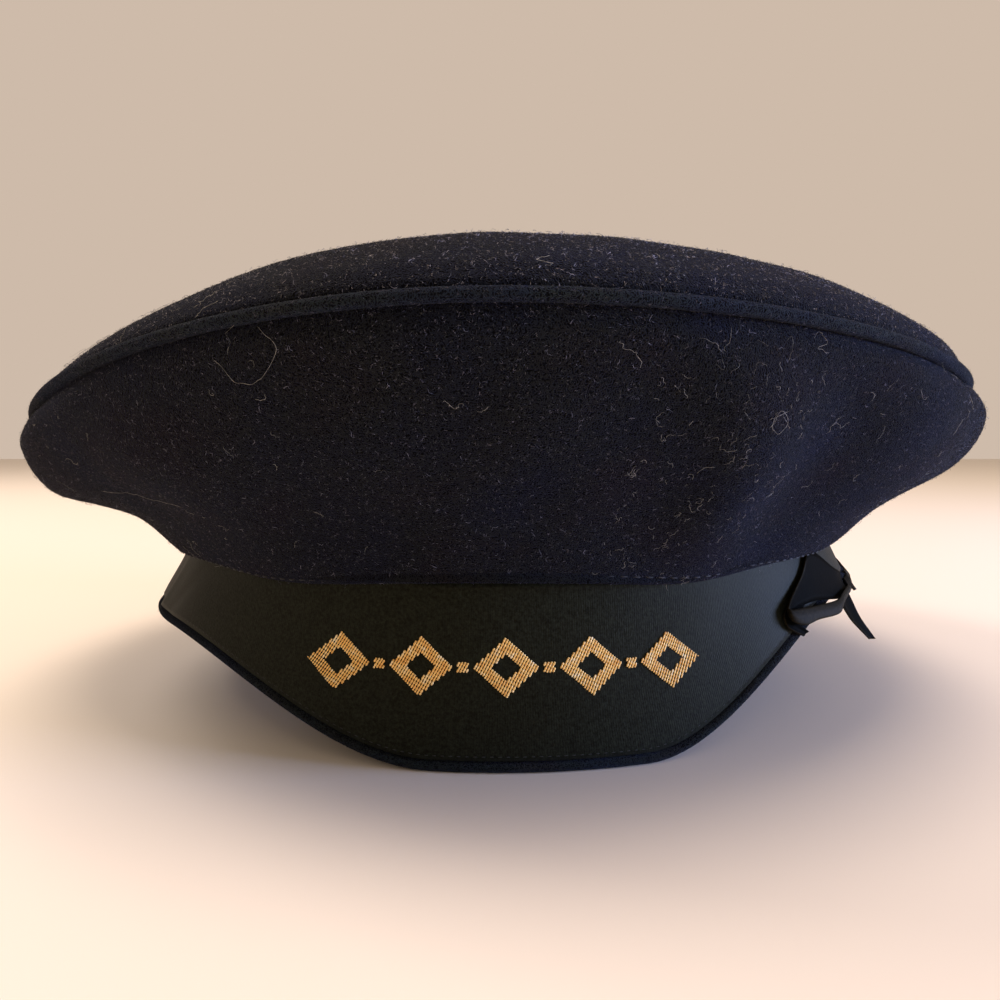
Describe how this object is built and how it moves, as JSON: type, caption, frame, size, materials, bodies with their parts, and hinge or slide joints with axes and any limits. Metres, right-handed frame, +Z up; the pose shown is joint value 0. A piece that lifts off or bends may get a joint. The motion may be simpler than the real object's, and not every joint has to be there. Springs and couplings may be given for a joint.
{
  "type": "sailor cap",
  "caption": "Soft round sailor cap of navy wool with a wide drooping crown, a welted rim and a ribbon tied in a bow round its band.",
  "frame": {"origin": "on the surface that the cap rests on, under the middle of the head band", "axes": "+Z up through the crown, -Y towards the front of the cap, +X towards the wearer's left, where the bow is"},
  "size_m": [0.258, 0.2362, 0.1105],
  "materials": {
    "navy_wool": "milled navy wool, matt, nearly black, with a short fuzz",
    "black_ribbon": "black silk ribbon, finely ribbed, soft sheen",
    "sweatband_cloth": "black cotton sateen, matt",
    "gold_thread": "gold-coloured woven thread, satin"
  },
  "bodies": {
    "root": {"crown_top": "navy_wool", "crown_side": "navy_wool", "rim_welt": "navy_wool", "band": "navy_wool", "hat_ribbon": "black_ribbon", "sweatband": "sweatband_cloth", "bow_loop_front": "black_ribbon", "bow_loop_back": "black_ribbon", "bow_tail_long": "black_ribbon", "bow_tail_short": "black_ribbon", "bow_knot": "black_ribbon"}
  },
  "joints": []
}
